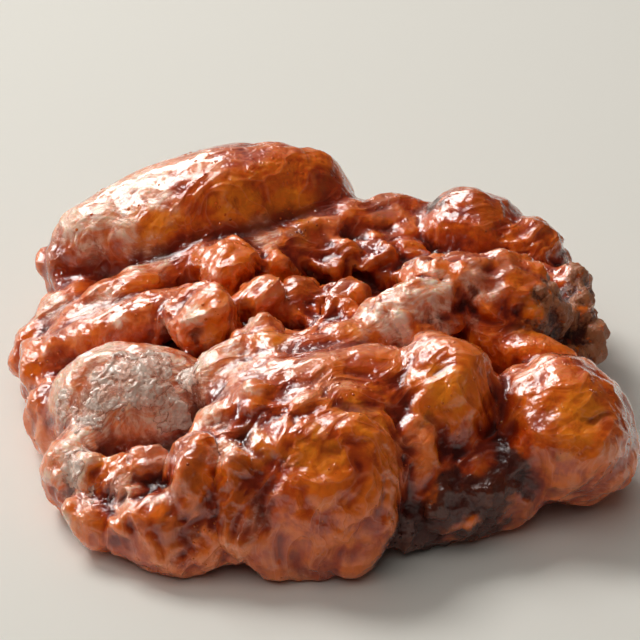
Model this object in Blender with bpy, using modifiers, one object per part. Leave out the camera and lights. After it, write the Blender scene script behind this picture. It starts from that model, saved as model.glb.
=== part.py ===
"""A glazed apple fritter, modelled as the one solid piece that it is.

A fritter is a handful of yeast dough chopped together with diced apple, pressed into
a ragged patty, fried on both sides and dipped in glaze. So the solid is made the same
way: a flat core, the folds of dough that swell over it, diced apple caught between
them, and knobs of burnt crust where stray dough fried hard. They are fused, softened
as the glaze softens them, crumpled, and cut flat where they rest.

Metres, +Z up, the origin on the table under the middle of the fritter. +X runs along
its longer side and -Y is the side that faces the viewer.
"""

import math
import random
from itertools import pairwise

import bmesh
import bpy
from mathutils import Matrix, Vector, noise

# Driving sizes: the fritter's length, and the unit that every other size is given in.
# The folds below span this many units from end to end.
LENGTH = 0.120
SPAN = 120
UNIT = LENGTH / SPAN
SEED = 7

# Fineness of the solid
FOLD_SUBDIVISIONS = 4
KNOB_SUBDIVISIONS = 3
VOXEL = 1.1 * UNIT
SOFTEN_STEPS = 2
TRIANGLES = 11400

# Each fold of dough: its middle and half sizes in UNITs, then its heading and rise in
# degrees. The long half size points along the heading.
FOLDS = {
    "core": ((0, -3, 5), (51, 44, 11), 0, 0),
    "heart": ((0, 12, 8), (42, 28, 9), 0, 0),
    "saddle": ((23, 27, 12), (14, 10, 9), 0, 0),
    "inner_bank": ((2, -3, 13), (24, 10, 9), 0, 0),
    # the far side
    "back_bun": ((-23, 40, 21), (31, 14, 17), 17, 5),
    "bun_end": ((-43, 34, 19), (12, 9, 13), 40, 0),
    "bun_knob": ((-51, 31, 15), (4, 5, 6), 0, 0),
    "back_ridge": ((10, 38, 13), (18, 12, 12), -6, 0),
    "back_low_left": ((-30, 44, 9), (20, 9, 9), 14, 0),
    "back_low_right": ((14, 44, 8), (20, 9, 9), -6, 0),
    "right_back": ((30, 40, 18), (11, 11, 12), 0, 0),
    "right_back_end": ((41, 35, 15), (9, 9, 11), -40, 0),
    # the right side
    "crag_high": ((49, 27, 13), (4, 5, 6), 0, 0),
    "crag_low": ((51, 13, 11), (4, 5, 7), 0, 0),
    "crag_middle": ((44, 17, 14), (8, 9, 8), 0, 0),
    "right_bank": ((39, 8, 8), (14, 24, 9), 0, 0),
    "right_ridge": ((31, 7, 23), (17, 9, 11), -10, 0),
    "ridge_tip": ((16, -2, 25), (13, 7, 7), 28, 0),
    "right_lobe": ((44, -23, 15), (14, 15, 13), 10, 0),
    "right_lobe_low": ((46, -22, 9), (13, 13, 9), 10, 0),
    "right_crust": ((25, -34, 8), (18, 9, 10), 16, 0),
    # the near side
    "front_top": ((1, -25, 16), (22, 15, 17), 4, 0),
    "inner_right": ((22, -23, 20), (11, 13, 13), 10, 0),
    "inner_low": ((17, -33, 14), (6, 9, 10), 0, 0),
    "front_bulge": ((-1, -41, 11), (13, 13, 15), 0, 0),
    "front_shoulder": ((-3, -35, 19), (11, 11, 11), 0, 0),
    "front_dome": ((-11, -33, 25), (5, 5, 6), 0, 0),
    "shoulder_left": ((-16, -33, 19), (6, 8, 8), 20, 0),
    "front_fold_right": ((-14, -43, 11), (5, 9, 12), 0, 0),
    "front_fold_left": ((-22, -41, 11), (5, 9, 12), 0, 0),
    "front_left": ((-26, -44, 6), (13, 8, 8), -8, 0),
    "front_left_low": ((-37, -38, 5), (8, 7, 6), 0, 0),
    # the left side
    "plateau": ((-35, -15, 14), (16, 13, 12), 0, 0),
    "corner_pale": ((-44, -28, 8), (7, 7, 9), 20, 0),
    "corner_crag": ((-33, -36, 9), (9, 6, 9), 0, 0),
    "left_bank": ((-42, 12, 10), (15, 13, 9), 30, 0),
    "left_edge": ((-53, 3, 9), (5, 7, 9), 0, 0),
    "left_low": ((-50, -9, 8), (6, 8, 8), 0, 0),
}
# A fold's skin swells and sinks by this share of its size, over waves this wide, and no
# two alike: the waves are drawn from places this many times as far apart as the folds.
FOLD_SWELL = 0.13
FOLD_WAVE = 0.7
FOLD_SPREAD = 1.7

# Long folds: the points that each one's middle runs through, with its radius there, all
# in UNITs. A row of overlapping balls fills it, one at every step.
RIDGES = {
    "rim": (
        (-39, 29, 14, 5),
        (-31, 26, 18, 6),
        (-22, 25, 21, 6),
        (-12, 27, 21, 6),
        (-4, 31, 21, 6),
        (4, 38, 21, 6.5),
        (13, 44, 20, 6.5),
        (21, 46, 18, 6),
    ),
    "rim_end": ((13, 40, 18, 6), (23, 40, 18, 6), (30, 38, 17, 6)),
    "left_outer": ((-57, 11, 8, 4), (-55, 13, 11, 4.5), (-51, 18, 14, 4.5), (-45, 25, 15, 4.5)),
    "left_middle": ((-49, 9, 14, 4.5), (-43, 13, 18, 5), (-35, 18, 20, 5), (-27, 25, 19, 4.5)),
    "left_inner": ((-53, 1, 12, 5), (-43, 4, 16, 5.5), (-33, 7, 19, 5.5), (-26, 12, 19, 5)),
    "front_edge": ((-18, -19, 22, 6), (-11, -14, 24, 5.5), (-1, -15, 24, 5), (9, -9, 25, 5)),
    "right_saddle": ((33, 0, 19, 6), (38, -4, 18, 5.5), (44, -8, 17, 6)),
    "crag_slope": ((43, 20, 17, 7), (46, 15, 14, 6), (50, 12, 11, 5)),
}
RIDGE_STEP = 2.0

# Diced apple that stands up out of the dough: each piece's middle and edge in UNITs,
# then its heading and rise in degrees.
APPLE = {
    "apple_front": ((-22, 2, 22), 12, 20, 25),
    "apple_back": ((-17, 20, 23), 11, 35, 20),
    "apple_film": ((-12, 9, 22), 8, 60, 15),
    "apple_glint": ((-10, 21, 22), 8, 10, 30),
    "apple_lump": ((3, 27, 20), 9, 50, 20),
    "apple_lump_right": ((11, 28, 20), 9, 25, 20),
    "apple_hollow": ((-3, 11, 19), 9, 70, 25),
    "apple_inner": ((5, 13, 20), 8, 15, 10),
    "apple_low": ((-5, 22, 15), 9, 30, 20),
    "apple_deep": ((17, 29, 17), 11, 40, 10),
    "apple_yellow": ((-11, -8, 23), 9, 15, 30),
    "apple_yellow_right": ((4, 3, 21), 8, 55, 30),
    "apple_right": ((41, 8, 18), 8, 30, 20),
}
APPLE_ROUNDING = 0.36

# Burnt knobs: the fold they fried onto, how many, and their half size in UNITs.
KNOBS = {
    "heart": (14, 4.2),
    "saddle": (5, 3.4),
    "crag_middle": (9, 3.4),
    "crag_low": (5, 2.6),
    "crag_high": (4, 2.6),
    "right_crust": (10, 2.8),
    "corner_crag": (7, 2.6),
    "bun_knob": (3, 2.6),
    "left_edge": (4, 2.6),
    "front_left_low": (4, 2.4),
}

# The skin crumples into rounded lumps with creases between them, in two sizes: the
# width of a lump and the depth of a crease, in UNITs.
CRUMPLES = ((13.0, 1.8), (6.0, 1.0))
# Height, in UNITs, that a crease keeps its full depth above: the skin that meets the
# table stays plain.
CRUMPLE_FLOOR = 4.0
# Folds that puffed up and stayed smooth, with the share of the crumpling they show. The
# share fades back to the whole from the fold's own surface out to this many times it.
SMOOTH_FOLDS = {
    "back_bun": 0.15,
    "right_back": 0.3,
    "front_bulge": 0.5,
    "front_top": 0.6,
    "right_lobe": 0.5,
}
SMOOTH_REACH = 1.3


def new_object(name, shape, matrix, collection):
    """A mesh object made from a bmesh that is first carried to its place."""
    shape.transform(matrix)
    mesh = bpy.data.meshes.new(name)
    shape.to_mesh(mesh)
    shape.free()
    made = bpy.data.objects.new(name, mesh)
    collection.objects.link(made)
    return made


def placed(middle, heading=0.0, rise=0.0):
    """The matrix that turns a piece to its heading and rise, and carries it to its middle."""
    turn = Matrix.Rotation(math.radians(heading), 4, "Z")
    lift = Matrix.Rotation(-math.radians(rise), 4, "Y")
    return Matrix.Translation(Vector(middle) * UNIT) @ turn @ lift


def swollen_ball(half_sizes, offset, subdivisions):
    """An ellipsoid of dough whose skin swells and sinks by a smooth rule."""
    ball = bmesh.new()
    bmesh.ops.create_icosphere(ball, subdivisions=subdivisions, radius=1.0)
    for vertex in ball.verts:
        wave = noise.noise(vertex.co / FOLD_WAVE + offset)
        vertex.co *= 1.0 + FOLD_SWELL * wave
    bmesh.ops.scale(ball, vec=Vector(half_sizes) * UNIT, verts=ball.verts)
    return ball


def add_folds(collection):
    for name, (middle, half_sizes, heading, rise) in FOLDS.items():
        ball = swollen_ball(half_sizes, Vector(middle) * FOLD_SPREAD, FOLD_SUBDIVISIONS)
        new_object(name, ball, placed(middle, heading, rise), collection)


def add_ridges(collection):
    """Rows of overlapping balls along the long folds."""
    for name, points in RIDGES.items():
        for start, end in pairwise(points):
            start, end = Vector(start), Vector(end)
            steps = math.ceil((end - start).length / RIDGE_STEP)
            for step in range(steps + 1):
                *middle, radius = start.lerp(end, step / steps)
                offset = Vector(middle) / radius
                ball = swollen_ball([radius] * 3, offset, KNOB_SUBDIVISIONS)
                new_object(name, ball, placed(middle), collection)


def add_apple(collection):
    for name, (middle, edge, heading, rise) in APPLE.items():
        dice = bmesh.new()
        bmesh.ops.create_cube(dice, size=edge * UNIT)
        bmesh.ops.bevel(
            dice,
            geom=dice.verts[:] + dice.edges[:],
            offset=APPLE_ROUNDING * edge * UNIT,
            segments=3,
            profile=0.5,
            affect="EDGES",
        )
        new_object(name, dice, placed(middle, heading, rise), collection)


def add_knobs(collection):
    """Small balls of stray dough, set by a seeded rule in the skin of the folds named."""
    draw = random.Random(SEED)
    for fold, (count, size) in KNOBS.items():
        middle, half_sizes, heading, rise = FOLDS[fold]
        for number in range(count):
            around = draw.uniform(0.0, math.tau)
            up = draw.uniform(-0.1, 0.9)
            out = math.sqrt(1.0 - up * up)
            direction = Vector((out * math.cos(around), out * math.sin(around), up))
            spot = Vector(d * h for d, h in zip(direction, half_sizes)) * UNIT
            spot = placed(middle, heading, rise) @ spot
            sizes = [size * draw.uniform(0.7, 1.3) for axis in range(3)]
            offset = Vector((number * 2.3, count, SEED))
            ball = swollen_ball(sizes, offset, KNOB_SUBDIVISIONS)
            name = f"{fold}_knob_{number}"
            new_object(name, ball, Matrix.Translation(spot), collection)


def applied(body):
    """Replaces the object's mesh by the one its modifiers make."""
    graph = bpy.context.evaluated_depsgraph_get()
    mesh = bpy.data.meshes.new_from_object(body.evaluated_get(graph))
    body.modifiers.clear()
    body.data = mesh
    return body


def fused(collection):
    """The core joined with everything else in the collection, which is then removed."""
    body = collection.objects["core"]
    collection.objects.unlink(body)
    bpy.context.scene.collection.objects.link(body)
    union = body.modifiers.new("join", "BOOLEAN")
    union.operation = "UNION"
    union.operand_type = "COLLECTION"
    union.collection = collection
    union.solver = "MANIFOLD"
    bpy.context.view_layer.update()
    applied(body)
    for piece in list(collection.objects):
        bpy.data.objects.remove(piece)
    bpy.data.collections.remove(collection)
    return body


def even_out(body):
    """Remeshes the joined folds to even faces and rounds the creases between them."""
    remesh = body.modifiers.new("even faces", "REMESH")
    remesh.mode = "VOXEL"
    remesh.voxel_size = VOXEL
    soften = body.modifiers.new("soften creases", "SMOOTH")
    soften.iterations = SOFTEN_STEPS
    applied(body)


def smooth_share(point, reaches):
    """How much of the crumpling shows at a point: less on the folds that puffed up."""
    share = 1.0
    for reach, kept in reaches:
        distance = (reach @ point).length
        fade = min(1.0, max(0.0, (SMOOTH_REACH - distance) / (SMOOTH_REACH - 1.0)))
        share = min(share, 1.0 + (kept - 1.0) * fade)
    return share


def crumple_depth(point):
    """How far the skin stands out at a point: rounded lumps with creases between them."""
    depth = 0.0
    for number, (width, crease) in enumerate(CRUMPLES):
        offset = Vector((SEED, number * 5.1, 0.0))
        wave = noise.noise(point / (width * UNIT) + offset)
        depth += crease * (min(abs(wave) * 2.2, 1.0) - 0.5)
    return depth * min(1.0, max(0.0, point.z / (CRUMPLE_FLOOR * UNIT))) * UNIT


def crumple(body):
    """Pushes every point of the skin along its own normal."""
    reaches = []
    for name, kept in SMOOTH_FOLDS.items():
        middle, half_sizes, heading, rise = FOLDS[name]
        fold = placed(middle, heading, rise) @ Matrix.Diagonal([h * UNIT for h in half_sizes] + [1.0])
        reaches.append((fold.inverted(), kept))
    normals = [vertex.normal.copy() for vertex in body.data.vertices]
    for vertex, normal in zip(body.data.vertices, normals):
        vertex.co += normal * crumple_depth(vertex.co) * smooth_share(vertex.co, reaches)


def thin_out(body):
    """Brings the faces down to the number that the solid may have."""
    faces = sum(len(polygon.vertices) - 2 for polygon in body.data.polygons)
    thin = body.modifiers.new("thin out", "DECIMATE")
    thin.ratio = TRIANGLES / faces
    applied(body)


def cut_underside(body):
    """Cuts the fritter flat at the table and closes the cut."""
    cut = bmesh.new()
    cut.from_mesh(body.data)
    geometry = cut.verts[:] + cut.edges[:] + cut.faces[:]
    bmesh.ops.bisect_plane(
        cut, geom=geometry, plane_co=(0, 0, 0), plane_no=(0, 0, 1), clear_inner=True
    )
    rim = [edge for edge in cut.edges if edge.is_boundary]
    bmesh.ops.triangle_fill(cut, edges=rim, use_beauty=True, normal=(0, 0, -1))
    bmesh.ops.recalc_face_normals(cut, faces=cut.faces)
    cut.to_mesh(body.data)
    cut.free()


def set_on_origin(body):
    """Carries the fritter sideways until the origin is under the middle of its box."""
    xs = [vertex.co.x for vertex in body.data.vertices]
    ys = [vertex.co.y for vertex in body.data.vertices]
    middle = Vector(((min(xs) + max(xs)) / 2, (min(ys) + max(ys)) / 2, 0.0))
    body.data.transform(Matrix.Translation(-middle))


def fried_and_glazed():
    """The crust's own material, amber brown under a clear glaze."""
    crust = bpy.data.materials.new("glazed crust")
    crust.use_nodes = True
    shader = crust.node_tree.nodes["Principled BSDF"]
    shader.inputs["Base Color"].default_value = (0.33, 0.09, 0.022, 1.0)
    shader.inputs["Roughness"].default_value = 0.3
    shader.inputs["Coat Weight"].default_value = 0.8
    return crust


def main():
    for leftover in list(bpy.data.objects):
        bpy.data.objects.remove(leftover)
    pieces = bpy.data.collections.new("pieces")
    bpy.context.scene.collection.children.link(pieces)
    add_folds(pieces)
    add_ridges(pieces)
    add_apple(pieces)
    add_knobs(pieces)
    body = fused(pieces)
    even_out(body)
    crumple(body)
    thin_out(body)
    cut_underside(body)
    set_on_origin(body)
    body.name = body.data.name = "fritter"
    body.data.materials.append(fried_and_glazed())
    body.data.shade_smooth()


main()
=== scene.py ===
import math
import random
from itertools import pairwise

import bmesh
import bpy
import numpy as np
from mathutils import Matrix, Vector, noise


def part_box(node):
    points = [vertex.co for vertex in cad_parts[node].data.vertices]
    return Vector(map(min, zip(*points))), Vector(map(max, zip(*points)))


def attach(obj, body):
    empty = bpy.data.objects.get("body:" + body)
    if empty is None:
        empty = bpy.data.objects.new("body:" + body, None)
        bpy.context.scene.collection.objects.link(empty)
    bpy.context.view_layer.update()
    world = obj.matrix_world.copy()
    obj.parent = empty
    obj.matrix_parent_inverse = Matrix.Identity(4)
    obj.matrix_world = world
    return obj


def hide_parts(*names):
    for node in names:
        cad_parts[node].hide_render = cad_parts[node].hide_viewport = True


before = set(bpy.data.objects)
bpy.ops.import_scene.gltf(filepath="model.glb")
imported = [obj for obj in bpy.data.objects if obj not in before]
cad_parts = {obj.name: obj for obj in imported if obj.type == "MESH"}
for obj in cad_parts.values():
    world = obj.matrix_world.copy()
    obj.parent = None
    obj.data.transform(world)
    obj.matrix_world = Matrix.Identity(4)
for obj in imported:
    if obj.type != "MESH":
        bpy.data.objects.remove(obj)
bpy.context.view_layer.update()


# The fritter itself: folds of yeast dough chopped together with diced apple, fried until
# they puff, split and brown, and then dipped in glaze. One body, swollen from a table of
# folds, crumpled, and given the fine relief of a fried skin.

MM = 0.001

# A fold of dough: its middle and half sizes in mm, then its heading and rise in degrees
FOLDS = {
    "core": ((0, -3, 5), (51, 44, 11), 0, 0),
    "heart": ((0, 12, 8), (42, 28, 9), 0, 0),
    "saddle": ((23, 27, 12), (14, 10, 9), 0, 0),
    "inner_bank": ((2, -3, 13), (24, 10, 9), 0, 0),
    "back_bun": ((-23, 40, 21), (31, 14, 17), 17, 5),
    "bun_end": ((-43, 34, 19), (12, 9, 13), 40, 0),
    "bun_knob": ((-51, 31, 15), (4, 5, 6), 0, 0),
    "back_ridge": ((10, 38, 13), (18, 12, 12), -6, 0),
    "back_low_left": ((-30, 44, 9), (20, 9, 9), 14, 0),
    "back_low_right": ((14, 44, 8), (20, 9, 9), -6, 0),
    "right_back": ((30, 40, 18), (11, 11, 12), 0, 0),
    "right_back_end": ((41, 35, 15), (9, 9, 11), -40, 0),
    "crag_high": ((49, 27, 13), (4, 5, 6), 0, 0),
    "crag_low": ((51, 13, 11), (4, 5, 7), 0, 0),
    "crag_middle": ((44, 17, 14), (8, 9, 8), 0, 0),
    "right_bank": ((39, 8, 8), (14, 24, 9), 0, 0),
    "right_ridge": ((31, 7, 23), (17, 9, 11), -10, 0),
    "ridge_tip": ((16, -2, 25), (13, 7, 7), 28, 0),
    "right_lobe": ((44, -23, 15), (14, 15, 13), 10, 0),
    "right_lobe_low": ((46, -22, 9), (13, 13, 9), 10, 0),
    "right_crust": ((25, -34, 8), (18, 9, 10), 16, 0),
    "front_top": ((1, -25, 16), (22, 15, 17), 4, 0),
    "inner_right": ((22, -23, 20), (11, 13, 13), 10, 0),
    "inner_low": ((17, -33, 14), (6, 9, 10), 0, 0),
    "front_bulge": ((-1, -41, 11), (13, 13, 15), 0, 0),
    "front_shoulder": ((-3, -35, 19), (11, 11, 11), 0, 0),
    "front_slope": ((1, -40, 15), (15, 12.5, 14), 0, 0),
    "front_dome": ((-11, -33, 25), (5, 5, 6), 0, 0),
    "shoulder_left": ((-16, -33, 19), (6, 8, 8), 20, 0),
    "front_fold_right": ((-14, -43, 11), (5, 9, 12), 0, 0),
    "front_fold_left": ((-22, -41, 11), (5, 9, 12), 0, 0),
    "front_left": ((-26, -44, 6), (13, 8, 8), -8, 0),
    "front_left_low": ((-37, -38, 5), (8, 7, 6), 0, 0),
    "plateau": ((-35, -15, 14), (16, 13, 12), 0, 0),
    "corner_pale": ((-44, -28, 8), (7, 7, 9), 20, 0),
    "corner_crag": ((-33, -36, 9), (9, 6, 9), 0, 0),
    "left_bank": ((-42, 12, 10), (15, 13, 9), 30, 0),
    "left_edge": ((-53, 3, 9), (5, 7, 9), 0, 0),
    "left_low": ((-50, -9, 8), (6, 8, 8), 0, 0),
}
# The skin of a fold swells and sinks by this share, in waves this wide for its half size
FOLD_SWELL = 0.13
FOLD_WAVE = 0.7
# How far apart in the noise two folds lie for each millimetre between them
FOLD_SPREAD = 1.7
SEED = 7

# A long fold: the points that its middle runs through, with its radius there, in mm
RIDGES = {
    "rim": (
        (-39, 29, 14, 5), (-31, 26, 18, 6), (-22, 25, 21, 6), (-12, 27, 21, 6),
        (-4, 31, 21, 6), (4, 38, 21, 6.5), (13, 44, 20, 6.5), (21, 46, 18, 6),
    ),
    "rim_end": ((13, 40, 18, 6), (23, 40, 18, 6), (30, 38, 17, 6)),
    "left_outer": ((-57, 11, 8, 4), (-55, 13, 11, 4.5), (-51, 18, 14, 4.5), (-45, 25, 15, 4.5)),
    "left_middle": ((-49, 9, 14, 4.5), (-43, 13, 18, 5), (-35, 18, 20, 5), (-27, 25, 19, 4.5)),
    "left_inner": ((-53, 1, 12, 5), (-43, 4, 16, 5.5), (-33, 7, 19, 5.5), (-26, 12, 19, 5)),
    "front_edge": ((-18, -19, 22, 6), (-11, -14, 24, 5.5), (-1, -15, 24, 5), (9, -9, 25, 5)),
    "right_saddle": ((33, 0, 19, 6), (38, -4, 18, 5.5), (44, -8, 17, 6)),
    "crag_slope": ((43, 20, 17, 7), (46, 15, 14, 6), (50, 12, 11, 5)),
    "front_pleat": ((-9, -38, 23, 4), (-11, -44, 17, 4), (-11, -48, 10, 4), (-8, -49, 4, 4.5)),
    "front_flute": ((9, -37, 23, 4.5), (10, -43, 17, 5), (9, -46, 10, 5.5), (6, -47, 5, 6)),
}
RIDGE_STEP = 2.0

# Diced apple in the dough: its middle and edge in mm, then its heading and rise
APPLE = {
    "front": ((-22, 2, 22), 12, 20, 25),
    "back": ((-17, 20, 23), 11, 35, 20),
    "film": ((-12, 9, 22), 8, 60, 15),
    "glint": ((-10, 21, 22), 8, 10, 30),
    "lump": ((3, 27, 20), 9, 50, 20),
    "lump_right": ((11, 28, 20), 9, 25, 20),
    "hollow": ((-3, 11, 19), 9, 70, 25),
    "inner": ((5, 13, 20), 8, 15, 10),
    "low": ((-5, 22, 15), 9, 30, 20),
    "fried_dark_and_shaded": ((17, 29, 17), 11, 40, 10),
    "yellow": ((-11, -8, 23), 9, 15, 30),
    "yellow_right": ((4, 3, 21), 8, 55, 30),
    "right": ((41, 8, 18), 8, 30, 20),
}
APPLE_ROUNDING = 0.18

# Knobs of stray dough: the fold they fried onto, how many, and their half size in mm
KNOBS = {
    "heart": (14, 4.2),
    "saddle": (5, 3.4),
    "crag_middle": (9, 3.4),
    "crag_low": (5, 2.6),
    "crag_high": (4, 2.6),
    "right_crust": (10, 2.8),
    "corner_crag": (7, 2.6),
    "bun_knob": (3, 2.6),
    "left_edge": (4, 2.6),
    "front_left_low": (4, 2.4),
}
# The lowest and highest a knob lies on its fold, as a share of the fold's half height
KNOB_RISE = (-0.1, 0.9)
KNOB_SPREAD = (0.7, 1.3)

SKIN_VOXEL = 0.68 * MM
SOFTEN_ROUNDS = 9


def placed(middle, heading=0.0, rise=0.0):
    turn = Matrix.Rotation(math.radians(heading), 4, "Z")
    lift = Matrix.Rotation(-math.radians(rise), 4, "Y")
    return Matrix.Translation(Vector(middle) * MM) @ turn @ lift


lump_points = []
lump_faces = []


def add_lump(points, faces):
    start = len(lump_points)
    lump_points.extend(points)
    lump_faces.extend([corner + start for corner in face] for face in faces)


def taken_from(shape):
    """The points and faces of a bmesh, which is then freed."""
    points = [vertex.co.copy() for vertex in shape.verts]
    faces = [[vertex.index for vertex in face.verts] for face in shape.faces]
    shape.free()
    return points, faces


def round_ball(fineness):
    shape = bmesh.new()
    bmesh.ops.create_icosphere(shape, subdivisions=fineness, radius=1.0)
    return taken_from(shape)


FINE_BALL, SMALL_BALL = round_ball(5), round_ball(3)


def add_ball(matrix, half_sizes, offset, ball):
    """A ball of dough whose skin swells and sinks by a smooth rule."""
    points, faces = ball
    swells = [1.0 + FOLD_SWELL * noise.noise(point / FOLD_WAVE + offset) for point in points]
    sizes = Vector(half_sizes) * MM
    add_lump([matrix @ (point * sizes * swell) for point, swell in zip(points, swells)], faces)


for middle, half_sizes, heading, rise in FOLDS.values():
    add_ball(placed(middle, heading, rise), half_sizes, Vector(middle) * FOLD_SPREAD, FINE_BALL)
ridge_spots = []
for points in RIDGES.values():
    for start, end in pairwise(points):
        start, end = Vector(start), Vector(end)
        steps = math.ceil((end - start).length / RIDGE_STEP)
        for step in range(steps + 1):
            *middle, radius = start.lerp(end, step / steps)
            ridge_spots.append((*middle, radius))
            add_ball(placed(middle), [radius] * 3, Vector(middle) / radius, SMALL_BALL)
for middle, edge, heading, rise in APPLE.values():
    dice = bmesh.new()
    bmesh.ops.create_cube(dice, size=edge * MM, matrix=placed(middle, heading, rise))
    bmesh.ops.bevel(
        dice, geom=dice.verts[:] + dice.edges[:], offset=APPLE_ROUNDING * edge * MM,
        segments=3, profile=0.5, affect="EDGES",
    )
    dice.verts.index_update()
    add_lump(*taken_from(dice))
draw = random.Random(SEED)
for fold, (count, size) in KNOBS.items():
    middle, half_sizes, heading, rise = FOLDS[fold]
    for number in range(count):
        around = draw.uniform(0.0, math.tau)
        up = draw.uniform(*KNOB_RISE)
        out = math.sqrt(1.0 - up * up)
        direction = Vector((out * math.cos(around), out * math.sin(around), up))
        spot = placed(middle, heading, rise) @ (direction * Vector(half_sizes) * MM)
        sizes = [size * draw.uniform(*KNOB_SPREAD) for axis in range(3)]
        add_ball(Matrix.Translation(spot), sizes, Vector((number * 2.3, count, SEED)), SMALL_BALL)


def new_piece(name, mesh):
    piece = bpy.data.objects.new(name, mesh)
    bpy.context.scene.collection.objects.link(piece)
    return piece


def settled(piece):
    """Replaces the piece's mesh by the one its modifiers make."""
    bpy.context.view_layer.update()
    graph = bpy.context.evaluated_depsgraph_get()
    mesh = bpy.data.meshes.new_from_object(piece.evaluated_get(graph))
    piece.modifiers.clear()
    piece.data = mesh
    mesh.name = piece.name


mesh = bpy.data.meshes.new("dough")
mesh.from_pydata(lump_points, [], lump_faces)
dough = new_piece("dough", mesh)
remesh = dough.modifiers.new("even faces", "REMESH")
remesh.mode = "VOXEL"
remesh.voxel_size = SKIN_VOXEL
soften = dough.modifiers.new("soften creases", "SMOOTH")
soften.iterations = SOFTEN_ROUNDS
settled(dough)

# The skin crumples into rounded lumps with creases between them: the width of a lump and
# the depth of a crease, in mm
CRUMPLES = ((13.0, 1.8), (6.0, 0.7), (3.4, 0.2))
CRUMPLE_FLOOR = 4.0
CRUMPLE_SHARPNESS = 2.2
# Folds that puffed up and stayed smooth, with the share of the crumpling they show
SMOOTH_FOLDS = {
    "back_bun": 0.2,
    "right_back": 0.4,
    "front_bulge": 0.5,
    "front_top": 0.5,
    "right_lobe": 0.5,
    "inner_right": 0.6,
    "plateau": 0.4,
}
SMOOTH_REACH = 1.3
SMOOTH_RIDGES = 0.45


def points_of(mesh, what="co"):
    """Every vertex's position or normal, as rows."""
    rows = np.empty(len(mesh.vertices) * 3)
    mesh.vertices.foreach_get(what, rows)
    return rows.reshape(-1, 3)


def set_points(mesh, rows):
    mesh.vertices.foreach_set("co", rows.ravel())
    mesh.update()


def add_share(mesh, name, shares):
    mesh.attributes.new(name, "FLOAT", "POINT").data.foreach_set("value", shares)


spots = points_of(dough.data)
smooth_share = np.ones(len(spots))


def less_crumpled(shares, away, kept):
    """The shares lowered to kept within reach of a form: away is 1 at its skin."""
    fade = np.clip((SMOOTH_REACH - away) / (SMOOTH_REACH - 1.0), 0, 1)
    return np.minimum(shares, 1.0 + (kept - 1.0) * fade)


for fold, kept in SMOOTH_FOLDS.items():
    middle, half_sizes, heading, rise = FOLDS[fold]
    stretch = Matrix.Diagonal([half * MM for half in half_sizes] + [1.0])
    reach = (placed(middle, heading, rise) @ stretch).inverted()
    local = spots @ np.array(reach.to_3x3()).T + np.array(reach.translation)
    smooth_share = less_crumpled(smooth_share, np.linalg.norm(local, axis=1), kept)
for *middle, radius in ridge_spots:
    away = np.linalg.norm(spots - np.array(middle) * MM, axis=1) / (radius * MM)
    smooth_share = less_crumpled(smooth_share, away, SMOOTH_RIDGES)
depth = np.zeros(len(spots))
for number, (width, crease) in enumerate(CRUMPLES):
    offset = Vector((SEED, number * 5.1, 0.0))
    waves = np.array([noise.noise(Vector(spot) / (width * MM) + offset) for spot in spots])
    depth += crease * (np.minimum(np.abs(waves) * CRUMPLE_SHARPNESS, 1.0) - 0.5)
depth *= np.clip(spots[:, 2] / (CRUMPLE_FLOOR * MM), 0, 1) * MM * smooth_share
set_points(dough.data, spots + points_of(dough.data, "normal") * depth[:, None])
add_share(dough.data, "rough", smooth_share)

# Cut flat where it rests, and fitted just inside the solid's box
BOX_GAP = 0.25 * MM
cut = bmesh.new()
cut.from_mesh(dough.data)
bmesh.ops.bisect_plane(
    cut, geom=cut.verts[:] + cut.edges[:] + cut.faces[:], plane_co=(0, 0, 0),
    plane_no=(0, 0, 1), clear_inner=True,
)
bmesh.ops.holes_fill(cut, edges=[edge for edge in cut.edges if edge.is_boundary], sides=0)
bmesh.ops.recalc_face_normals(cut, faces=cut.faces)
cut.to_mesh(dough.data)
cut.free()


def fit_to_solid(piece, gap):
    """Stretches the piece by a hair so that it fills the solid's box, less a gap."""
    solid_low, solid_high = (np.array(corner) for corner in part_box("fritter"))
    spots = points_of(piece.data)
    low, high = spots.min(0), spots.max(0)
    room_low, room_high = solid_low + (gap, gap, 0), solid_high - gap
    set_points(piece.data, room_low + (spots - low) / (high - low) * (room_high - room_low))


fit_to_solid(dough, BOX_GAP)
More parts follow.
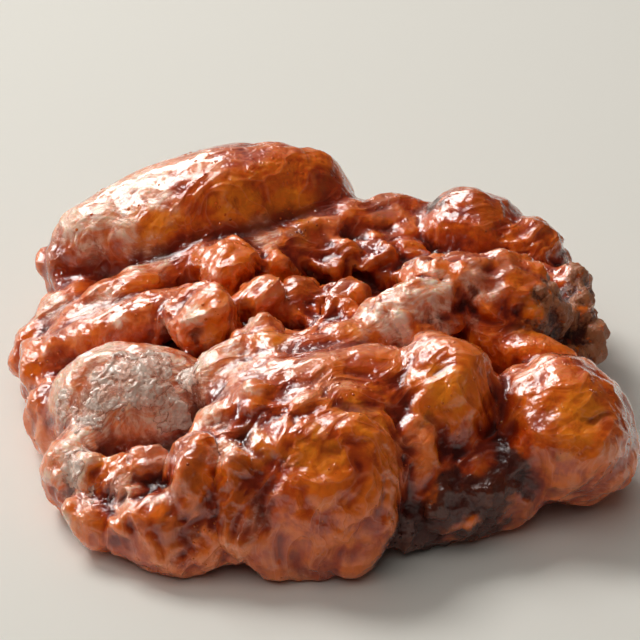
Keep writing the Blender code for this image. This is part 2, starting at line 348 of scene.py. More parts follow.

# Where the skin differs: the middle and reach in mm of each patch of set sugar, of milky glaze
# (partly painted highlights), of thin dull film, of burnt crust, of crumbly brown crags, of bright
# apple under a thin crust, and of darker dough, partly dough that fried darker and partly painted
# shade in the hollows
PATCHES = {
    "sugar": (
        (-31, -22, 24, 6), (-38, -25, 21, 5), (-26, -26, 20, 4), (-43, -21, 19, 3),
        (-23, -21, 23, 3), (-44, -37, 14, 4), (-39, -38, 12, 4),
    ),
    # Milky glaze, partly painted highlights: the patches on the rim, at the left end of the back
    # bun and on the crests of the left folds paint the window's highlight
    "milk": (
        (18, -6, 31, 6), (13, -9, 29, 6), (23, -3, 33, 5), (10, -8, 27, 4), (-10, 25, 27, 4),
        (29, -3, 31, 5), (33, -1, 30, 3), (-30, -22, 24, 16), (-41, -25, 20, 11),
        (-44, -37, 14, 7), (-40, 29, 32, 8), (-47, 26, 27, 5), (-34, 32, 34, 6),
        (-50, 14, 17, 4), (-40, 8, 22, 4), (-33, 19, 26, 4), (-28, -47, 16, 3),
        (-34, -43, 15, 3), (-16, -44, 22, 3), (-11, -50, 13, 2.5),
    ),
    "film": (
        (14, -45, 9, 5), (15, -46, 2, 5), (-2, -53, 3, 5), (-11, -54, 7, 6), (-24, -53, 6, 8),
        (-15, -52, 5, 6), (-31, -51, 8, 7), (18, -42, 19, 6), (19, -39, 22, 4), (-39, -1, 20, 6),
        (-31, 2, 22, 6), (-45, -2, 17, 5), (-47, -20, 18, 5), (-50, -18, 8, 6), (-40, -45, 9, 5),
        (3, 30, 27, 6), (11, 42, 26, 7), (-31, 36, 36, 8), (-22, 37, 38, 8), (55, -35, 20, 6),
        (50, -36, 9, 6), (57, -23, 20, 5), (30, 38, 28, 3), (37, 6, 32, 4),
        (-8, 5, 24, 5), (-2, -32, 31, 6), (-46, 30, 28, 8), (-40, 36, 31, 8),
    ),
    "burnt": (
        (23, 38, 26, 2.5), (15, -46, 5, 5), (21, -46, 9, 6), (26, -44, 12, 6),
        (31, -43, 12, 5), (35, -40, 14, 5), (19, -43, 1, 5), (30, -42, 4, 5),
    ),
    "crag": (
        (51, 16, 22, 5), (56, 26, 14, 5), (46, 2, 26, 5), (46, 1, 20, 5), (53, 6, 15, 7),
        (50, 7, 20, 5), (51, 26, 20, 5), (57, 14, 12, 6), (45, 12, 24, 5),
    ),
    "apple": (
        (-8, -16, 29, 4), (7, -12, 30, 3), (47, -35, 23, 5), (49, -32, 25, 4),
        (23, -31, 30, 5), (22, -34, 28, 4), (42, -3, 25, 4), (7, -39, 25, 5),
        (1, -49, 24, 5), (-32, 25, 30, 5), (-15, 30, 31, 6), (-38, -37, 16, 3),
        (-5, 33, 30, 6), (-11, -43, 23, 4), (-20, -5, 25, 4),
    ),
    # Darker dough: some patches are dough that fried darker; those in the middle hollow and between
    # the knobs are painted shade
    "fried_dark_and_shaded": (
        (3, 40, 29, 5), (36, 38, 26, 9), (46, 34, 20, 8), (36, 6, 31, 8), (25, 12, 30, 6),
        (14, 40, 24, 6), (-2, 24, 22, 7), (-14, 4, 22, 4), (-7, 6, 21, 4),
        (-3, 12, 24, 6), (5, 13, 25, 6), (4, 3, 26, 4), (12, 8, 24, 6), (18, 16, 22, 7),
        (10, 22, 24, 7), (34, -27, 23, 6), (36, -33, 20, 6), (31, -36, 17, 6), (-15, -50, 17, 6),
        (-12, -49, 20, 5), (-21, -46, 23, 4), (-18, -28, 23, 4), (-29, -36, 18, 5),
        (-23, -41, 22, 4), (-35, -30, 13, 4), (24, -43, 10, 8), (33, -40, 9, 8), (17, -41, 9, 5),
        (-25, -48, 11, 5), (-37, -42, 13, 3), (-50, -13, 16, 4), (-50, 24, 21, 5),
    ),
}
# A patch fades out at this many times its reach, along an edge that noise makes ragged
PATCH_EDGE = 1.5
PATCH_RAG = 0.9
PATCH_RAG_WIDTH = 5.0 * MM
spots = points_of(dough.data)
rag = np.array([noise.fractal(Vector(spot) / PATCH_RAG_WIDTH, 1.0, 2.0, 3) for spot in spots])
for name, patches in PATCHES.items():
    shares = np.zeros(len(spots))
    for *middle, reach in patches:
        away = np.linalg.norm(spots - np.array(middle) * MM, axis=1) / (reach * MM)
        shares = np.maximum(shares, np.clip(PATCH_EDGE - away + rag * PATCH_RAG, 0, 1))
    add_share(dough.data, name, shares * shares * (3 - 2 * shares))


class Value:
    """A number or vector that nodes carry: arithmetic on a number adds its Math nodes."""

    def __init__(self, nodes, socket):
        self.nodes = nodes
        self.socket = socket

    def math(self, operation, first, second):
        settings, values = {"operation": operation}, {"Value": first, "Value_001": second}
        return self.nodes.add("ShaderNodeMath", settings, values)

    def __add__(self, other):
        return self.math("ADD", self, other)

    def __radd__(self, other):
        return self.math("ADD", other, self)

    def __sub__(self, other):
        return self.math("SUBTRACT", self, other)

    def __rsub__(self, other):
        return self.math("SUBTRACT", other, self)

    def __mul__(self, other):
        return self.math("MULTIPLY", self, other)

    def __rmul__(self, other):
        return self.math("MULTIPLY", other, self)

    def __truediv__(self, other):
        return self.math("DIVIDE", self, other)

    def __rtruediv__(self, other):
        return self.math("DIVIDE", other, self)

    def __abs__(self):
        return self.math("ABSOLUTE", self, 0.0)

    def at_most(self, other):
        return self.math("MINIMUM", self, other)

    def at_least(self, other):
        return self.math("MAXIMUM", self, other)

    def above(self, other):
        return self.math("GREATER_THAN", self, other)

    def rise(self, low, high):
        """0 up to low, 1 from high, and a smooth step between them."""
        settings = {"interpolation_type": "SMOOTHSTEP"}
        values = {"Value": self, "From Min": low, "From Max": high}
        return self.nodes.add("ShaderNodeMapRange", settings, values)

    def output(self, name):
        """Another output of the node that this value comes from."""
        return Value(self.nodes, self.socket.node.outputs[name])


class Nodes:
    """The nodes of one tree, for a material or for a shape."""

    def __init__(self, tree):
        self.tree = tree

    def add(self, kind, settings=None, values=None, out=0):
        """A node with its settings, then its sockets' values or links, and one of its outputs."""
        node = self.tree.nodes.new(kind)
        for name, setting in (settings or {}).items():
            setattr(node, name, setting)
        identifiers = {socket.identifier: socket for socket in node.inputs}
        for name, value in (values or {}).items():
            socket = identifiers.get(name) or node.inputs[name]
            if isinstance(value, (Value, list)):
                for source in value if isinstance(value, list) else [value]:
                    self.tree.links.new(source.socket, socket)
            else:
                socket.default_value = value
        return Value(self, node.outputs[out])

    def noise(self, place, width, detail=3.0, roughness=0.55, distortion=0.0):
        """Cloudy noise spread evenly from 0 to 1, with features this wide, in metres."""
        values = {"Vector": place, "Scale": 1.0 / width, "Detail": detail,
                  "Roughness": roughness, "Distortion": distortion}
        raw = self.add("ShaderNodeTexNoise", {}, values)
        values = {"Value": raw, "From Min": 0.36, "From Max": 0.64}
        return self.add("ShaderNodeMapRange", {}, values)

    def cells(self, place, width, feature="F1"):
        """How far each spot lies from the middle of its cell, or with a feature from its edge."""
        values = {"Vector": place, "Scale": 1.0 / width}
        return self.add("ShaderNodeTexVoronoi", {"feature": feature}, values, "Distance")

    def vector(self, operation, first, second, out=0):
        values = {"Vector": first, "Vector_001": second}
        return self.add("ShaderNodeVectorMath", {"operation": operation}, values, out)

    def scaled(self, vector, scale):
        values = {"Vector": vector, "Scale": scale}
        return self.add("ShaderNodeVectorMath", {"operation": "SCALE"}, values)

    def blend(self, first, second, share):
        """One colour turning into another."""
        values = {"Factor_Float": share, "A_Color": first, "B_Color": second}
        return self.add("ShaderNodeMix", {"data_type": "RGBA", "clamp_factor": True}, values, 2)

    def feed(self, node, sockets):
        for name, value in sockets.items():
            self.tree.links.new(value.socket, node.inputs[name])


def new_material(name):
    """A material, the nodes of its tree and its shader."""
    material = bpy.data.materials.new(name)
    material.use_nodes = True
    return material, Nodes(material.node_tree), material.node_tree.nodes["Principled BSDF"]


def set_sockets(node, values):
    for name, value in values.items():
        node.inputs[name].default_value = value


def shape_tree(name, sizes):
    """A Geometry Nodes tree with a mesh in, a mesh out, and an input for each size."""
    tree = bpy.data.node_groups.new(name, "GeometryNodeTree")
    tree.interface.new_socket("Geometry", in_out="INPUT", socket_type="NodeSocketGeometry")
    tree.interface.new_socket("Geometry", in_out="OUTPUT", socket_type="NodeSocketGeometry")
    for size in sizes:
        tree.interface.new_socket(size, in_out="INPUT", socket_type="NodeSocketFloat")
    nodes = Nodes(tree)
    entry = tree.nodes.new("NodeGroupInput")
    return nodes, {socket.name: Value(nodes, socket) for socket in entry.outputs if socket.name}


def finish_tree(nodes, geometry, material):
    realized = nodes.add("GeometryNodeRealizeInstances", {}, {"Geometry": geometry})
    smooth = nodes.add("GeometryNodeSetShadeSmooth", {}, {"Geometry": realized})
    dressed = nodes.add("GeometryNodeSetMaterial", {}, {"Geometry": smooth, "Material": material})
    end = nodes.tree.nodes.new("NodeGroupOutput")
    nodes.feed(end, {"Geometry": dressed})


def shaped(piece, tree, sizes):
    """Runs the tree on the piece with these sizes, and keeps the plain mesh."""
    modifier = piece.modifiers.new(tree.name, "NODES")
    modifier.node_group = tree
    for item in tree.interface.items_tree:
        if item.in_out == "INPUT" and item.name in sizes:
            modifier[item.identifier] = sizes[item.name]
    settled(piece)


def keeping(nodes, geometry, name, value, kind="FLOAT"):
    """The geometry with one more value that its points carry."""
    return nodes.add("GeometryNodeStoreNamedAttribute", {"data_type": kind, "domain": "POINT"},
                     {"Geometry": geometry, "Name": name, "Value": value})


def stored(nodes, name, kind="FLOAT"):
    """A share that the skin carries, read inside a shape's tree."""
    return nodes.add("GeometryNodeInputNamedAttribute", {"data_type": kind}, {"Name": name})


def painted(nodes, name):
    """A share that the skin carries, read inside a material."""
    return nodes.add("ShaderNodeAttribute", {"attribute_name": name}, {}, "Fac")


# The crust's material: amber to dark red-brown dough under a clear, wet glaze, with shade painted
# dark into its creases and hollows and a paler sheen painted on the faces turned to the window
AMBER = (0.52, 0.060, 0.004, 1)
ORANGE = (0.84, 0.165, 0.009, 1)
# Russet is the dough's own darker tone and also the painted shade of creases and hollows; the
# near-black brown after it is only painted shade
RUSSET_AND_SHADE = (0.22, 0.015, 0.003, 1)
SHADE_BROWN = (0.050, 0.004, 0.002, 1)
BURNT = (0.052, 0.009, 0.006, 1)
CINDER = (0.36, 0.140, 0.060, 1)
GOLD = (1.00, 0.290, 0.012, 1)
# The pink film of the glaze, also used for the painted sheen on the faces turned to the window
FILM_AND_SHEEN = (1.00, 0.48, 0.29, 1)
# The milky white of set glaze, also used to paint highlights
MILK_AND_HIGHLIGHT = (1.00, 0.74, 0.58, 1)
FOLD_HEADING = 30
WRINKLE_SPREAD = 6.5 * MM
WAVER = 14 * MM


def streaked(nodes, place, width, ratio, detail=4.0):
    """Noise that runs long in the heading of the folds."""
    turned = nodes.add("ShaderNodeVectorRotate", {"rotation_type": "Z_AXIS"},
                       {"Vector": place, "Angle": -math.radians(FOLD_HEADING)})
    squeezed = nodes.vector("MULTIPLY", turned, (1.0 / ratio, 1.0, 1.0))
    return nodes.noise(squeezed, width, detail, 0.6, 0.3)


def drawn_down(nodes, place, width, ratio, detail=4.0):
    """Noise that runs long down the sides, as the glaze did."""
    squeezed = nodes.vector("MULTIPLY", place, (1.0, 1.0, 1.0 / ratio))
    return nodes.noise(squeezed, width, detail, 0.6, 0.3)


def wavered(nodes, place, width, reach):
    """The place moved about, so that straight streaks on it waver."""
    values = {"Vector": place, "Scale": 1.0 / width, "Detail": 1.0}
    waves = nodes.add("ShaderNodeTexNoise", {}, values, "Color")
    return nodes.vector("ADD", place, nodes.scaled(waves, reach))


def crest_lines(nodes, place, side):
    """Thin crests, 1 along each, where the cooling glaze wrinkled over the folds."""
    bent = wavered(nodes, place, WAVER, WAVER)
    over = streaked(nodes, bent, WRINKLE_SPREAD, 3.0, 2.0)
    down = drawn_down(nodes, bent, WRINKLE_SPREAD, 3.0, 2.0)
    return 1.0 - abs(over + (down - over) * side - 0.5) * 2.0


glazed, nodes, shader = new_material("glazed crust")
place = nodes.add("ShaderNodeTexCoord", {}, {}, "Object")
crease, hollow, side = (painted(nodes, name) for name in ("crease", "hollow", "side"))
film, milk, burnt, crag = (painted(nodes, name) for name in ("film", "milk", "burnt", "crag"))
apple, fried_dark_and_shaded, upper = (painted(nodes, name) for name in ("apple", "fried_dark_and_shaded", "upper"))
clouds = nodes.noise(place, 11 * MM, 3, 0.6, 0.6)
mottle = nodes.noise(place, 3.2 * MM, 4, 0.6, 0.6)
grain = nodes.noise(place, 0.7 * MM, 3, 0.6)
bent = wavered(nodes, place, WAVER, WAVER)
along, down = streaked(nodes, bent, 2.0 * MM, 5), drawn_down(nodes, bent, 2.6 * MM, 3)
streaks = along + (down - along) * side
crests = crest_lines(nodes, place, side)
veins = 1.0 - abs(nodes.noise(place, 3.6 * MM, 3, 0.55, 1.2) - 0.5).rise(0.0, 0.10)
threads = streaked(nodes, wavered(nodes, place, 8 * MM, 8 * MM), 0.9 * MM, 4, 5.0)
bubbles = 1.0 - nodes.cells(wavered(nodes, place, 3 * MM, 2 * MM), 1.3 * MM).rise(0.0, 0.45)
bubbles = bubbles * nodes.noise(place, 5 * MM, 3, 0.6).rise(0.45, 0.8)
ripples = nodes.noise(place, 2.4 * MM, 1, 0.5, 0.8)

# The fried dough: its tone, the bright apple, shade painted dark red-brown into its creases and
# hollows, and the burnt places
# The tone also sinks in the creases and hollows: painted shade
tone = clouds * 0.45 + streaks * 0.25 + mottle * 0.2 + 0.06 - crease * 0.14 - hollow * 0.10
colour = nodes.blend(RUSSET_AND_SHADE, AMBER, tone.rise(0.10, 0.45))
colour = nodes.blend(colour, ORANGE, tone.rise(0.40, 0.85))
colour = nodes.blend(colour, GOLD, (apple * (mottle * 0.6 + 0.5)).rise(0.1, 1.1) * 0.7)
# Darker dough, partly fried darker and partly painted shade in the hollows between the knobs
colour = nodes.blend(colour, RUSSET_AND_SHADE, (fried_dark_and_shaded * 0.8 + (mottle - 0.5) * 0.3).rise(0.2, 1.0) * 0.6)
# Painted shade: the creases and hollows measured on the skin are coloured russet, then near-black
# brown, as if in shadow
painted_shade = crease * 0.5 + hollow * 0.6 + (mottle - 0.5) * 0.3
colour = nodes.blend(colour, RUSSET_AND_SHADE, painted_shade.rise(0.0, 0.6) * 0.8)
colour = nodes.blend(colour, SHADE_BROWN, painted_shade.rise(0.4, 1.5) * 0.95)
charred = (burnt * 1.1 + (mottle - 0.5) * 0.5).rise(0.10, 1.0)
crumbly = crag.rise(0.3, 0.8) * (mottle * 0.7 + grain * 0.3 + crag * 0.2).rise(0.15, 0.55)
# Less cinder and more burnt brown down in the creases: a little painted shade
cinder_share = (grain * 0.45 + mottle * 0.55 - crease * 0.15).rise(0.30, 0.85)
colour = nodes.blend(colour, BURNT, charred * 0.9)
colour = nodes.blend(colour, nodes.blend(BURNT, CINDER, cinder_share), crumbly * 0.9)

# The glaze's dull pink film and its milky threads, on all that isn't burnt or sunken. The film is
# also painted paler as a sheen where the skin faces up towards the window, both are painted thinner
# in the creases as shade, and some milky patches are painted highlights
bare = (1.0 - charred * 0.8) * (1.0 - fried_dark_and_shaded * 0.8) * (1.0 - crumbly * 0.7)
bare = bare * (1.0 - painted_shade.rise(0.1, 0.9) * 0.85)
# Painted sheen: the film is laid on thicker where the skin faces the window, and thinner in the
# creases
film_and_sheen = upper * 0.5 + film * 0.4 + (streaks - 0.5) * 0.4 + (clouds - 0.5) * 0.3 - crease * 0.1
film_and_sheen = (film_and_sheen.rise(0.20, 1.1) + milk * (0.3 + streaks * 0.4)).at_most(1.0)
film_and_sheen_share = film_and_sheen * (0.4 + milk * 0.45) + crests.rise(0.88, 1.0) * 0.12
colour = nodes.blend(colour, FILM_AND_SHEEN, film_and_sheen_share * bare)
# Milky threads and patches, partly painted highlights, with a little of the painted sheen
strands = threads * 0.55 + streaks * 0.45 + milk * 0.10 - crease * 0.12
milky_and_highlit = strands.rise(0.35, 1.0) * milk.rise(0.05, 1.0)
milk_and_highlight_share = milky_and_highlit * 0.75 + veins * film_and_sheen * 0.1 + threads.rise(0.75, 1.0) * film_and_sheen * 0.25
colour = nodes.blend(colour, MILK_AND_HIGHLIGHT, milk_and_highlight_share * bare)

rough = 0.06 + milky_and_highlit * 0.12 + charred * 0.10 + crumbly * 0.35
height = ripples * 0.5 + streaks * 0.3 + grain * (0.02 + charred * 0.3 + crumbly * 0.6)
height = height + crests.rise(0.6, 1.0) * 0.4 + threads * (0.06 + milky_and_highlit * 0.3) + bubbles * 0.6
bump = nodes.add("ShaderNodeBump", {}, {"Strength": 0.6, "Distance": 0.45 * MM, "Height": height})
wet = (0.7 - charred * 0.3 - crumbly * 0.7 - crease.at_least(0.0) * 0.35).at_least(0.0)
nodes.feed(shader, {"Base Color": colour, "Roughness": rough, "Normal": bump, "Coat Weight": wet})
set_sockets(shader, {
    "Specular IOR Level": 0.5,
    "Coat Roughness": 0.04,
    "Subsurface Weight": 0.3,
    "Subsurface Radius": (1.0, 0.30, 0.10),
    "Subsurface Scale": 2.5 * MM,
})

# The fried skin: wrinkles and blisters, and glaze that fills the narrow creases
SKIN_SIZES = {
    "Wrinkle Height": 0.85 * MM,
    "Blister Height": 0.36 * MM,
    "Glaze Fill": 0.7,
}
BLISTER_WIDTH = 2.6 * MM
# A crease and a hollow are this far below the skin's form as smoothed this many times
CREASE_DEPTH, CREASE_ROUNDS = 0.30 * MM, 25
HOLLOW_DEPTH, HOLLOW_ROUNDS = 1.6 * MM, 90
FACING_ROUNDS = 8
# The way the painted sheen faces: up, and a little towards the back on the left, where the window
# stands; skin turned this way is painted paler and pinker, as if lit by it
SHEEN_FACING = (-0.50, 0.35, 0.79)
nodes, sizes = shape_tree("fried skin", SKIN_SIZES)
position = nodes.add("GeometryNodeInputPosition")
normal = nodes.add("GeometryNodeInputNormal")


def blurred(nodes, value, rounds):
    return nodes.add("GeometryNodeBlurAttribute", {"data_type": "FLOAT_VECTOR"},
                     {"Value": value, "Iterations": rounds})


def sunk(nodes, position, normal, rounds):
    """How far, in metres, the skin lies below its own smoothed form."""
    gap = nodes.vector("SUBTRACT", blurred(nodes, position, rounds), position)
    return nodes.vector("DOT_PRODUCT", gap, normal, "Value")


crease = sunk(nodes, position, normal, CREASE_ROUNDS)
hollow = sunk(nodes, position, normal, HOLLOW_ROUNDS)
facing = blurred(nodes, normal, FACING_ROUNDS)
side = 1.0 - abs(nodes.vector("DOT_PRODUCT", facing, (0, 0, 1), "Value")).rise(0.45, 0.85)
# How much the skin faces the window, kept so that the crust's colour can paint a paler sheen there
upper = nodes.vector("DOT_PRODUCT", facing, SHEEN_FACING, "Value").rise(0.45, 0.95)
wrinkles = crest_lines(nodes, position, side) - 0.5
blisters = nodes.noise(position, BLISTER_WIDTH, 2) - 0.5
relief = wrinkles * sizes["Wrinkle Height"]
charred = (stored(nodes, "burnt") + stored(nodes, "crag")).at_most(1.0)
relief = relief + blisters * sizes["Blister Height"] * (0.3 + charred * 1.5)
relief = relief * stored(nodes, "rough") + crease.at_least(0.0) * sizes["Glaze Fill"]
geometry = nodes.add("GeometryNodeSetPosition", {},
                     {"Geometry": sizes["Geometry"], "Offset": nodes.scaled(normal, relief)})
geometry = keeping(nodes, geometry, "crease", crease / CREASE_DEPTH)
geometry = keeping(nodes, geometry, "hollow", hollow / HOLLOW_DEPTH)
geometry = keeping(nodes, geometry, "side", side)
geometry = keeping(nodes, geometry, "upper", upper)
finish_tree(nodes, geometry, glazed)

shaped(dough, nodes.tree, SKIN_SIZES)
fit_to_solid(dough, BOX_GAP)
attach(dough, "root")
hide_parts("fritter")


# The set sugar: where the glaze lay thick on a cooling flat it dried to a pale pink crust,
# cracked like old paint and pitted by burst bubbles. It is a closed sheet that follows the
# dough's skin, stuck to it, and thin enough for the dough to show through in places.

SUGAR = (1.00, 0.76, 0.63, 1)
SUGAR_THIN = (1.00, 0.52, 0.36, 1)
CRUST_SIZES = {
    "Crust Height": 0.14 * MM,
    "Crust Depth": 0.22 * MM,
    "Crust Wrinkle": 0.28 * MM,
    "Crack Spread": 4.2 * MM,
    "Pit Spread": 1.3 * MM,
}
WELD_REACH = 0.002 * MM

set_sugar, nodes, shader = new_material("set sugar")
place = nodes.add("ShaderNodeTexCoord", {}, {}, "Object")
thick = painted(nodes, "thick")
specks = nodes.noise(place, 0.7 * MM, 4, 0.65)
cloudy = nodes.noise(place, 3.0 * MM, 3, 0.6, 0.5)
colour = nodes.blend(AMBER, SUGAR_THIN, (thick + (cloudy - 0.5) * 0.6).rise(0.05, 0.50))
pale = thick * 0.8 + (cloudy - 0.5) + (specks - 0.5) * 0.7
colour = nodes.blend(colour, SUGAR, pale.rise(0.35, 1.05))
height = specks + cloudy * 0.5
bump = nodes.add("ShaderNodeBump", {}, {"Strength": 0.9, "Distance": 0.3 * MM, "Height": height})
rough = 0.15 + thick * 0.2 - specks * 0.1
cover = (thick + (cloudy - 0.5) * 0.7 + (specks - 0.5) * 0.3).rise(0.0, 0.7) * 0.9
nodes.feed(shader, {"Base Color": colour, "Normal": bump, "Roughness": rough, "Alpha": cover})
set_sockets(shader, {"Coat Weight": 1.0, "Coat Roughness": 0.10, "Specular IOR Level": 0.8})

nodes, sizes = shape_tree("sugar crust", CRUST_SIZES)
patch = nodes.add("GeometryNodeSeparateGeometry", {"domain": "FACE"},
                  {"Geometry": sizes["Geometry"], "Selection": stored(nodes, "sugar").above(0.1)})
fine = nodes.add("GeometryNodeSubdivideMesh", {}, {"Mesh": patch, "Level": 2})
position = nodes.add("GeometryNodeInputPosition")
normal = nodes.add("GeometryNodeInputNormal")
broad = nodes.noise(position, 6 * MM, 3, 0.6)
small = nodes.noise(position, 1.4 * MM, 3, 0.6)
edge = (stored(nodes, "sugar") + (broad - 0.5) * 0.55 + (small - 0.5) * 0.25).rise(0.35, 0.70)
bent = wavered(nodes, wavered(nodes, position, 6 * MM, 7 * MM), 1.5 * MM, 1.2 * MM)
cracks = 1.0 - nodes.cells(bent, sizes["Crack Spread"], "DISTANCE_TO_EDGE").rise(0.0, 0.05)
pits = 1.0 - nodes.cells(bent, sizes["Pit Spread"]).rise(0.12, 0.30)
worn = nodes.noise(bent, 4.5 * MM, 4, 0.65).rise(0.15, 0.5)
thick = edge * (1.0 - cracks * broad * 0.8) * (1.0 - pits * small.rise(0.4, 0.8))
folded = 1.0 - abs(nodes.noise(bent, 3.6 * MM, 2, 0.5) - 0.5) * 2.0
kept = keeping(nodes, fine, "thick", thick * (0.35 + worn * 0.65))
kept = keeping(nodes, kept, "outwards", normal, "FLOAT_VECTOR")
kept = keeping(nodes, kept, "edge", edge)
kept = keeping(nodes, kept, "folded", folded * edge)
kept = nodes.add("GeometryNodeSeparateGeometry", {"domain": "FACE"},
                 {"Geometry": kept, "Selection": stored(nodes, "edge").above(0.02)})
outwards = stored(nodes, "outwards", "FLOAT_VECTOR")
sheet = nodes.add("GeometryNodeSetPosition", {},
                  {"Geometry": kept, "Offset": nodes.scaled(outwards, sizes["Crust Depth"] * -1.0)})
risen = nodes.add("GeometryNodeExtrudeMesh", {},
                  {"Mesh": sheet, "Offset Scale": 0.0, "Individual": False}, "Mesh")
sunk_half = sizes["Crust Depth"] * 0.5
lift = sunk_half + stored(nodes, "thick") * (sizes["Crust Height"] + sunk_half)
lift = lift + stored(nodes, "folded") * sizes["Crust Wrinkle"]
top = nodes.add("GeometryNodeSetPosition", {},
                {"Geometry": risen, "Selection": risen.output("Top"),
                 "Offset": nodes.scaled(outwards, lift)})
under = nodes.add("GeometryNodeFlipFaces", {}, {"Mesh": sheet})
closed = nodes.add("GeometryNodeJoinGeometry", {}, {"Geometry": [top, under]})
welded = nodes.add("GeometryNodeMergeByDistance", {}, {"Geometry": closed, "Distance": WELD_REACH})
finish_tree(nodes, welded, set_sugar)

crust = new_piece("sugar_crust", dough.data.copy())
shaped(crust, nodes.tree, CRUST_SIZES)
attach(crust, "root")


# Beads of glaze: drops and burst bubbles of syrup that set on the skin while it drained,
# clear and shiny, thickest where the film of glaze is.

BEAD_SIZES = {"Bead Density": 6.0e5, "Bead Radius": 0.22 * MM, "Bead Flatness": 0.5}
BEAD_SPREAD = (0.35, 1.3)
BEAD_SEED = 11

clear_glaze, nodes, shader = new_material("clear glaze")
place = nodes.add("ShaderNodeTexCoord", {}, {}, "Object")
tint = nodes.noise(place, 4 * MM, 3, 0.6)
# Beads go burnt brown on burnt crust and crags, and darker where the dough has painted shade
singed_and_shaded = painted(nodes, "burnt") + painted(nodes, "crag") + painted(nodes, "fried_dark_and_shaded") * 0.6
colour = nodes.blend(nodes.blend(AMBER, ORANGE, tint), BURNT, singed_and_shaded.at_most(1.0))
nodes.feed(shader, {"Base Color": colour, "Roughness": 0.04 + tint * 0.06})
set_sockets(shader, {
    "Coat Weight": 0.6,
    "Coat Roughness": 0.04,
    "Subsurface Weight": 0.3,
    "Subsurface Radius": (1.0, 0.4, 0.15),
    "Subsurface Scale": 1.5 * MM,
})

nodes, sizes = shape_tree("glaze beads", BEAD_SIZES)
dry = stored(nodes, "sugar") + stored(nodes, "milk") * 0.6
wet = (stored(nodes, "film") * 0.7 + stored(nodes, "apple") * 0.6 + 0.12 - dry).at_least(0.0)
wet = wet * nodes.noise(nodes.add("GeometryNodeInputPosition"), 9 * MM, 2).rise(0.55, 0.95)
scatter = nodes.add("GeometryNodeDistributePointsOnFaces", {},
                    {"Mesh": sizes["Geometry"], "Density": wet * sizes["Bead Density"],
                     "Seed": BEAD_SEED}, "Points")
bead = nodes.add("GeometryNodeMeshUVSphere", {}, {"Segments": 8, "Rings": 4, "Radius": 1.0})
smallest, largest = BEAD_SPREAD
radius = nodes.add("FunctionNodeRandomValue", {"data_type": "FLOAT"},
                   {"Min_001": smallest, "Max_001": largest, "Seed": BEAD_SEED}, "Value")
radius = radius * radius * sizes["Bead Radius"]
shape = nodes.add("ShaderNodeCombineXYZ", {},
                  {"X": radius, "Y": radius, "Z": radius * sizes["Bead Flatness"]})
beads = nodes.add("GeometryNodeInstanceOnPoints", {},
                  {"Points": scatter, "Instance": bead,
                   "Rotation": scatter.output("Rotation"), "Scale": shape})
finish_tree(nodes, beads, clear_glaze)

beads = new_piece("glaze_beads", dough.data.copy())
shaped(beads, nodes.tree, BEAD_SIZES)
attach(beads, "root")


# The floor is a plain pale table. A broad window stands behind the fritter on the left,
# with three cards of light that show only as glints in the glaze, and a soft fill in front.
# The camera looks down at the photograph's angle, a third of the way up.

FLOOR_COLOUR = (0.77, 0.76, 0.71, 1)
FLOOR_HALF_WIDTH = 3.0
# The floor lies this far under the fritter, so that the two faces don't share a plane
FLOOR_DROP = 0.0002
floor_mesh = bpy.data.meshes.new("floor")
plane = bmesh.new()
bmesh.ops.create_grid(plane, x_segments=1, y_segments=1, size=FLOOR_HALF_WIDTH)
plane.to_mesh(floor_mesh)
plane.free()
floor = new_piece("floor", floor_mesh)
floor.location.z = -FLOOR_DROP
pale_table, _, shader = new_material("pale table")
set_sockets(shader, {"Base Color": FLOOR_COLOUR, "Roughness": 0.9, "Specular IOR Level": 0.2})
floor_mesh.materials.append(pale_table)

# The room is a little brighter on the window's side
ROOM_COLOUR = (1.0, 0.95, 0.89, 1)
ROOM_LIT_FROM = (-0.52, 0.62, 0.59)
world = bpy.data.worlds.new("studio")
world.use_nodes = True
room = world.node_tree.nodes["Background"]
nodes = Nodes(world.node_tree)
towards = nodes.vector("DOT_PRODUCT", nodes.add("ShaderNodeTexCoord"), ROOM_LIT_FROM, "Value")
nodes.feed(room, {"Strength": 0.05 + towards.rise(0.5, 1.0) * 0.6})
set_sockets(room, {"Color": ROOM_COLOUR})
bpy.context.scene.world = world

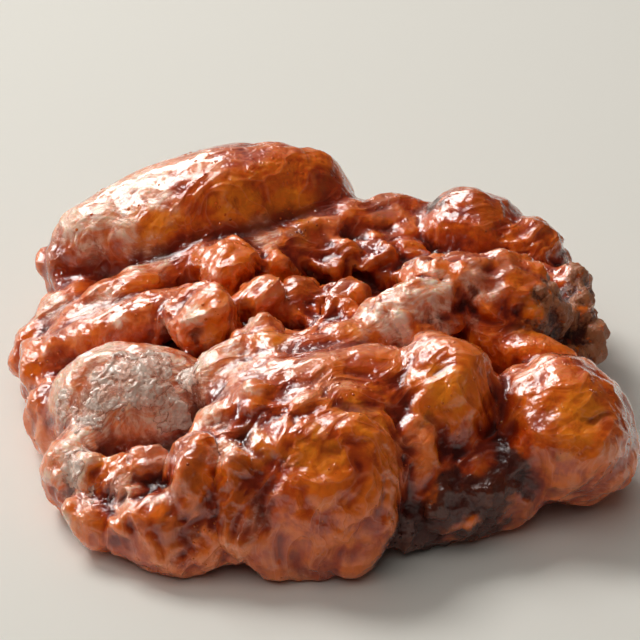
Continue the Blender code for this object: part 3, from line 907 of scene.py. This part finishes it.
LIGHT_AIM = Vector((0, 0, 0.02))
DAYLIGHT = (1.0, 0.98, 0.95)
WARM_WHITE = (1.0, 0.97, 0.93)
# Where each card stands, its width and height, and its power in watts
REFLECTION_CARDS = {
    "side card": ((-0.93, 0.24, 0.32), (0.36, 0.30), 6.0),
    "back card": ((-0.30, 0.84, 0.52), (0.44, 0.24), 4.2),
    "top card": ((-0.24, 0.34, 0.93), (0.30, 0.16), 3.0),
}


def add_light(name, place, size, power, colour):
    """A rectangle of light at the place, turned to the fritter."""
    light = bpy.data.lights.new(name, "AREA")
    light.shape = "RECTANGLE"
    light.size, light.size_y = size
    light.energy = power
    light.color = colour
    lamp = bpy.data.objects.new(name, light)
    lamp.location = place
    lamp.rotation_euler = (LIGHT_AIM - Vector(place)).to_track_quat("-Z", "Y").to_euler()
    bpy.context.scene.collection.objects.link(lamp)
    return lamp


add_light("window", (-0.51, 0.46, 0.84), (0.42, 0.34), 7.4, DAYLIGHT)
for name, (place, size, power) in REFLECTION_CARDS.items():
    add_light(name, place, size, power, WARM_WHITE).visible_diffuse = False
add_light("fill", (-0.25, -0.50, 1.15), (1.2, 1.0), 4.4, WARM_WHITE).visible_glossy = False

# The camera's aim in metres, and the pixel of the photograph on which that spot lies
ELEVATION = math.radians(32.7)
AIM = Vector((0.002, -0.011, 0.014))
AIM_PIXEL = (325, 392)
PHOTO_SIZE = 640
DISTANCE = 0.52
camera = bpy.data.objects.new("camera", bpy.data.cameras.new("camera"))
camera.location = AIM + Vector((0, -math.cos(ELEVATION), math.sin(ELEVATION))) * DISTANCE
camera.rotation_euler = (math.radians(90) - ELEVATION, 0, 0)
camera.data.sensor_width = 36.0
camera.data.lens = 156.5
camera.data.shift_x = -(AIM_PIXEL[0] - PHOTO_SIZE / 2) / PHOTO_SIZE
camera.data.shift_y = (AIM_PIXEL[1] - PHOTO_SIZE / 2) / PHOTO_SIZE
bpy.context.scene.collection.objects.link(camera)
bpy.context.scene.camera = camera
bpy.context.scene.view_settings.view_transform = "Standard"
